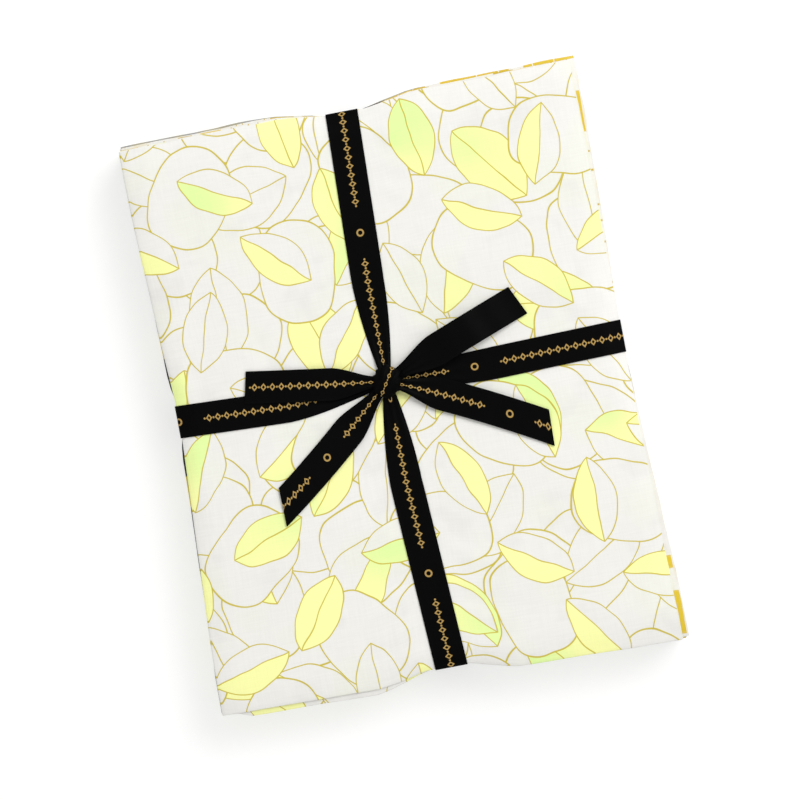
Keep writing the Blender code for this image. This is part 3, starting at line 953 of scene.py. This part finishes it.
@dataclass
class TiedRibbon:
    """The ribbon round the stack: two bands, the knot and four free ends."""

    stack: TiedStack
    ribbon: SatinRibbon = SatinRibbon()
    clear: float = 0.36 * MM
    floor_level: float = 0.19 * MM
    round: float = 1.2 * MM
    tucked: float = 1.2 * MM
    knot_width: float = 6 * MM
    narrow: float = 6 * MM
    gather: float = 50 * MM
    band_rise: float = 1.7 * MM
    rise_reach: float = 13 * MM
    corner_clear: float = 0.1 * MM
    side_foot: float = 2.8 * MM
    end_root_mm: float = 4.5
    end_rise: float = 4.1 * MM
    end_opening: float = 26 * MM
    over_cloth: float = 0.5 * MM
    over_band: float = 0.55 * MM
    core_half: float = 3.6 * MM
    core_level: float = 3.5 * MM
    wrap_heading: float = 58
    wrap_half: float = 4.6 * MM
    wrap_level: float = 3.4 * MM
    wrap_rise: float = 4.15 * MM
    wrap_turn: float = 1.35

    def __post_init__(self) -> None:
        """Makes the ribbon's two finishes and its sweep."""
        self.sweep = RibbonSweep()
        self.face = self.ribbon.material("ribbon face", printed=True)
        self.back = self.ribbon.material("ribbon back", printed=False)
        low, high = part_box("ribbon_knot")
        self.knot = (low + high) / 2
        self.knot_low, self.knot_high = low, high

    def piece(self, node: str, **changes: object) -> RibbonPiece:
        """A length of this ribbon."""
        return RibbonPiece(node, self.sweep, self.face, self.back, **changes)

    def band_line(self, first: Side, last: Side) -> list[tuple[Vector, Vector]]:
        """The line of one band round the stack, from the knot over one side and back to it over the other."""
        out, back = self.half_run(first), self.half_run(last)[::-1]
        crossing = []
        if first.axis == 0:
            for away, raised in STEP_OVER:
                place = self.stack.ribbon_x + away * MM
                share = (out[-1].x - place) / (out[-1].x - back[0].x)
                across = out[-1].y + (back[0].y - out[-1].y) * share
                crossing.append(Vector((place, across, self.floor_level + raised * MM)))
        line = []
        for spot in out + crossing + back:
            under = spot.z < self.stack.height / 2
            half = (RIBBON_WIDTH if under else self.gathered_width(spot, first.axis)) / 2
            line.append((spot, Vector((half, 0, 0)) if first.axis else Vector((0, -half, 0))))
        return line

    def half_run(self, side: Side) -> list[Vector]:
        """The middle points of a band from the knot over the top and one side to the floor."""
        stack, axis = self.stack, side.axis
        half = stack.half(axis) - side.notch
        start = (self.knot_high if side.sign > 0 else self.knot_low)[axis] - side.sign * self.tucked
        run = []
        for place in np.linspace(start, side.sign * (half - self.round), 110):
            spot = self.on_course(side, float(place), 0.0)
            edges = [spot.copy(), spot.copy()]
            for edge, sign in zip(edges, (-1, 1)):
                edge[1 - axis] += sign * self.gathered_width(spot, axis) / 2
            rise = max(0.0, 1 - abs(place - start) / self.rise_reach)
            level = max(stack.top_at(edge.x, edge.y) for edge in (*edges, spot))
            spot.z = level + self.clear + self.band_rise * rise * rise
            run.append(spot)
        height = run[-1].z
        radius = self.round + self.clear + self.corner_clear
        for turn in np.linspace(0, math.pi / 2, 7)[1:]:
            out = half - self.round + radius * math.sin(turn)
            run.append(self.on_course(side, side.sign * out, height - radius * (1 - math.cos(turn))))
        foot = self.floor_level + self.side_foot
        run.append(self.on_course(side, side.sign * (half + radius - self.round), foot))
        for inwards, raised in UNDER_EDGE:
            spot = self.on_course(side, side.sign * (half - inwards * MM), self.floor_level + raised * MM)
            spot[1 - axis] = side.band_edge
            run.append(spot)
        return run

    def on_course(self, side: Side, place: float, level: float) -> Vector:
        """The point of a band's middle line at one place: straight from the edge, then bent to the knot."""
        axis = side.axis
        half = self.stack.half(axis) - side.notch
        from_knot = abs(place - self.knot[axis])
        bent = eased(held(from_knot / self.gather))
        straight = held((from_knot - self.gather) / (half - side.sign * self.knot[axis] - self.gather))
        aside = self.knot[1 - axis] + (side.band_gathered - self.knot[1 - axis]) * bent
        aside += (side.band_edge - side.band_gathered) * straight
        return Vector((aside, place, level)) if axis else Vector((place, aside, level))

    def gathered_width(self, spot: Vector, axis: int) -> float:
        """A band's width at one point: narrow near the knot."""
        share = held((abs(spot[axis] - self.knot[axis]) - self.narrow) / self.gather)
        return self.knot_width + (RIBBON_WIDTH - self.knot_width) * share * (2 - share)

    def end_line(self, end: FreeEnd) -> list[tuple[Vector, Vector]]:
        """The line of one free end, from inside the knot to its cut."""
        heading = math.radians(end.heading)
        ahead = Vector((math.cos(heading), math.sin(heading)))
        root = self.knot.xy + ahead * self.end_root_mm * MM
        half_way, tip = Vector(end.half_way) * MM, Vector(end.tip) * MM
        bend = 2 * half_way - (root + tip) / 2
        length = (half_way - root).length + (tip - half_way).length
        rest = self.clear + (self.over_band if end.node == "tail_left" else self.over_cloth)
        width_at_knot = self.knot_width * 0.9
        line = []
        for t in np.linspace(0, 1, 70):
            point = root * (1 - t) ** 2 + bend * 2 * t * (1 - t) + tip * t ** 2
            along = ((bend - root) * (1 - t) + (tip - bend) * t).normalized()
            turn = held(t * 5)
            along = (ahead * (1 - turn) + along * turn).normalized()
            opened = eased(held(t * length / self.end_opening))
            half = (width_at_knot + (RIBBON_WIDTH - width_at_knot) * opened) / 2
            side = Vector((along.y, -along.x)) * half
            side -= along * half * math.tan(math.radians(end.slant)) * t ** 4
            lift = end.lift * MM * math.sin(math.pi * held(t * 1.02)) ** 1.5
            fallen = (rest - self.end_rise) * opened
            level = self.stack.top_at(point.x, point.y) + self.end_rise + fallen + lift
            line.append((Vector((*point, level)), Vector((*side, 0)) * (1 if end.face_up else -1)))
        return line

    def build(self) -> list[bpy.types.Object]:
        """Lays the bands and the free ends and ties the knot."""
        quarters = ["quarter_14_cloth"]
        made = [
            self.piece("ribbon_lengthwise", print_start=0.02).lay(self.band_line(Side.END, Side.CREASE), quarters),
            self.piece("ribbon_crosswise", print_start=0.05).lay(self.band_line(Side.CUT, Side.FOLD), quarters),
        ]
        for end in FREE_ENDS:
            piece = self.piece(end.node, print_start=end.print_start)
            made.append(piece.lay(self.end_line(end), quarters))
        made.append(self.tie())
        return made

    def tie(self) -> bpy.types.Object:
        """The knot: a pleated core of gathered ribbon, with one turn drawn slantwise over it."""
        size = (self.knot_high - self.knot_low) / 2
        turns, rings = 96, 48
        around, up = np.meshgrid(np.linspace(0, math.tau, turns + 1), np.linspace(0, math.pi, rings + 1))
        pleat = 1 + 0.05 * np.cos(9 * around + 3 * np.cos(up)) * np.sin(up) + 0.03 * np.cos(17 * around) * np.sin(up)
        x = size.x * np.sin(up) * np.cos(around) * pleat
        y = size.y * np.sin(up) * np.sin(around) * pleat
        z = self.core_half * np.cos(up)
        points = np.stack([x + self.knot.x, y + self.knot.y, z + self.knot_low.z + self.core_level], axis=-1)
        points[..., 2] = np.maximum(points[..., 2], self.knot_low.z + 0.05 * MM)
        flat = np.stack([around * size.x, up * size.y], axis=-1)
        core = new_mesh("ribbon_knot_core", points, flat)
        core.materials.append(self.back)
        body = show(bpy.data.objects.new("ribbon_knot_satin", core))
        wrap = self.wrap(size)
        with bpy.context.temp_override(active_object=body, selected_editable_objects=[body, wrap]):
            bpy.ops.object.join()
        self.weld(body)
        stand_for(body, "ribbon_knot")
        return body

    def wrap(self, size: Vector) -> bpy.types.Object:
        """The turn of ribbon over the knot, a pleated strip that arches from side to side."""
        heading = math.radians(self.wrap_heading)
        ahead = Vector((math.cos(heading), math.sin(heading), 0))
        side = Vector((ahead.y, -ahead.x, 0)) * self.wrap_half
        middle = Vector((self.knot.x, self.knot.y, self.knot_low.z + self.wrap_level))
        line = []
        for angle in np.linspace(-self.wrap_turn, self.wrap_turn, 40):
            reach = Vector((ahead.x, ahead.y, 0)) * math.sin(angle) * (size.y + 0.2 * MM)
            rise = Vector((0, 0, 1)) * (math.cos(angle) * self.wrap_rise)
            narrow = 0.72 + 0.28 * abs(math.sin(angle))
            line.append((middle + reach + rise, side * narrow))
        mesh = self.sweep.mesh(line, {
            "Steps along": 60,
            "Steps across": 17,
            "Half width": RIBBON_WIDTH / 2,
            "Pleats": 3.0,
            "Pleat depth": 0.5 * MM,
            "Start": 0.0215,
            "Face": self.face,
        })
        return thickened("ribbon_knot_wrap", mesh, SHEET_THICK, (self.face, self.back))

    @staticmethod
    def weld(body: bpy.types.Object) -> None:
        """Closes the core's seam and poles and turns its faces out."""
        work = bmesh.new()
        work.from_mesh(body.data)
        bmesh.ops.remove_doubles(work, verts=work.verts, dist=0.002 * MM)
        bmesh.ops.recalc_face_normals(work, faces=work.faces)
        work.to_mesh(body.data)
        work.free()
        body.data.shade_smooth()


@dataclass(frozen=True)
class Studio:
    """The camera over the bundle, the floor under it and soft light."""

    turn: float = 10.8
    distance: float = 2.4
    seen: float = 392.2 * MM
    sensor: float = 36.0
    middle: tuple[float, float] = (-1.2 * MM, -4.3 * MM)
    surround: float = 0.55
    floor_half: float = 4.0
    floor_drop: float = 0.05 * MM
    floor_grey: float = 0.45
    floor_glow: float = 0.60

    def camera(self, top: float) -> None:
        """The camera, straight above and turned as the photograph is, framed at the height of the top."""
        lens = bpy.data.cameras.new("camera")
        lens.sensor_width = self.sensor
        lens.lens = self.sensor * self.distance / self.seen
        lens.clip_end = 20
        camera = show(bpy.data.objects.new("camera", lens))
        camera.location = (*self.middle, self.distance + top)
        camera.rotation_euler = (0, 0, math.radians(-self.turn))
        bpy.context.scene.camera = camera

    def light(self) -> None:
        """A large soft light above to the right, a weak one opposite and a pale surround."""
        rows = (("key", (1.1, 0.9, 1.6), 1.5, 33.0), ("fill", (-1.2, -0.6, 1.5), 1.6, 5.0))
        for name, place, size, power in rows:
            lamp = bpy.data.lights.new(name, "AREA")
            lamp.shape = "SQUARE"
            lamp.size = size
            lamp.energy = power
            holder = show(bpy.data.objects.new(name, lamp))
            holder.location = place
            holder.rotation_euler = (-Vector(place)).to_track_quat("-Z", "Y").to_euler()
        world = bpy.data.worlds.new("surround")
        world.use_nodes = True
        world.node_tree.nodes["Background"].inputs["Color"].default_value = (1, 1, 1, 1)
        world.node_tree.nodes["Background"].inputs["Strength"].default_value = self.surround
        bpy.context.scene.world = world
        bpy.context.scene.view_settings.view_transform = "Standard"

    def floor(self) -> None:
        """A plain white floor, lit through like a light table so that shadows stay faint."""
        half, grey = self.floor_half, self.floor_grey
        corners = np.array([[[-half, -half, 0], [-half, half, 0]], [[half, -half, 0], [half, half, 0]]])
        mesh = new_mesh("floor", corners - [0, 0, self.floor_drop], corners[..., :2])
        floor = show(bpy.data.objects.new("floor", mesh))
        material = bpy.data.materials.new("floor")
        material.use_nodes = True
        surface = material.node_tree.nodes["Principled BSDF"].inputs
        surface["Base Color"].default_value = (grey, grey, grey, 1)
        surface["Emission Color"].default_value = (1, 1, 1, 1)
        surface["Emission Strength"].default_value = self.floor_glow
        surface["Roughness"].default_value = 0.9
        mesh.materials.append(material)


WHITE: Colour = (0.85, 0.838, 0.80)
MUSTARD: Colour = (0.60, 0.49, 0.045)
LEMON: Colour = (0.97, 0.98, 0.42)
LIME: Colour = (0.76, 0.96, 0.38)

COTTONS = {
    "printed": Cotton("leaf cotton", "printed", WHITE, MUSTARD, LEMON, LIME, Print.LEAVES),
    "white": Cotton("white cotton", "white", WHITE, (0.60, 0.44, 0.04), (0.76, 0.55, 0.04), LEMON, Print.BLOCKS),
    "ochre": Cotton("ochre cotton", "ochre", (0.74, 0.53, 0.05), WHITE, WHITE, LEMON, Print.BLOCKS),
    "lemon": Cotton("lemon cotton", "lemon", (0.93, 0.91, 0.33), WHITE, MUSTARD, LIME, Print.SPOTS),
    "lime": Cotton("lime cotton", "lime", (0.66, 0.86, 0.30), WHITE, LEMON, LEMON, Print.SPOTS),
    "mint": Cotton("mint cotton", "mint", (0.52, 0.76, 0.66), WHITE, (0.25, 0.5, 0.4), LIME, Print.PLAIN),
    "grey": Cotton("grey cotton", "grey", (0.56, 0.55, 0.54), WHITE, (0.3, 0.3, 0.3), LEMON, Print.SPOTS),
    "taupe": Cotton("taupe cotton", "taupe", (0.42, 0.36, 0.32), WHITE, (0.2, 0.16, 0.14), WHITE, Print.BLOCKS),
    "olive": Cotton("olive cotton", "olive", (0.20, 0.20, 0.04), LEMON, MUSTARD, LIME, Print.SPOTS),
    "charcoal": Cotton("charcoal cotton", "charcoal", (0.015, 0.016, 0.018), (0.1, 0.1, 0.1), MUSTARD,
                       (0.05, 0.05, 0.05), Print.BLOCKS),
}

FRAME_NODES: dict[str, bpy.types.Object] = {}

# The gap between quarters, the widths of the mesh's cells where they differ, and which quarters stand out
# between the ribbons, by how much.
QUARTER_GAP = 0.3 * MM
TOP_CELL = 1.7 * MM
TOP_HIDDEN_CELL = 7 * MM
UNDERSIDE_CELL = 4 * MM
SLACK_EVERY = 5
SLACK = 0.32


def build_stack(record: Mapping[str, object]) -> TiedStack:
    """Builds every fat quarter of the frame, from the bottom up.

    Args:
        record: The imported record, which says which cotton each one is.

    Returns:
        The form of the tied stack, which the ribbon lies on.
    """
    slots = {part["node"]: part["material_slot"] for part in record["subparts"]}
    nodes = sorted(name for name in FRAME_NODES if name.startswith("quarter_"))
    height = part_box(nodes[-1])[1].z
    pitch = (height + QUARTER_GAP) / len(nodes)
    stack = TiedStack(height=height)
    for number, node in enumerate(nodes):
        quarter = FatQuarter(node, number, number * pitch, stack, COTTONS[slots[node]])
        if node == nodes[-1]:
            quarter.cell = TOP_CELL
            quarter.hidden_cell = TOP_HIDDEN_CELL
        if number == 0:
            quarter.hidden_cell = UNDERSIDE_CELL
        if number % SLACK_EVERY == 0:
            quarter.slack = SLACK
        piece = quarter.build()
        below = nodes[number - 1] + "_cloth" if number else "ribbon_lengthwise"
        LOG.info("%s: %d points", piece.name, len(piece.data.vertices))
    return stack


def main() -> None:
    """Builds the scene in order and reports each piece."""
    logging.basicConfig(level=logging.INFO, format="%(message)s")
    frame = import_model()
    FRAME_NODES.update(frame["nodes"])
    studio = Studio()
    studio.camera(top=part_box("quarter_14")[1].z)
    studio.light()
    studio.floor()
    stack = build_stack(frame["record"])
    for piece in TiedRibbon(stack).build():
        LOG.info("%s: %d points", piece.name, len(piece.data.vertices))


if __name__ == "__main__":
    main()
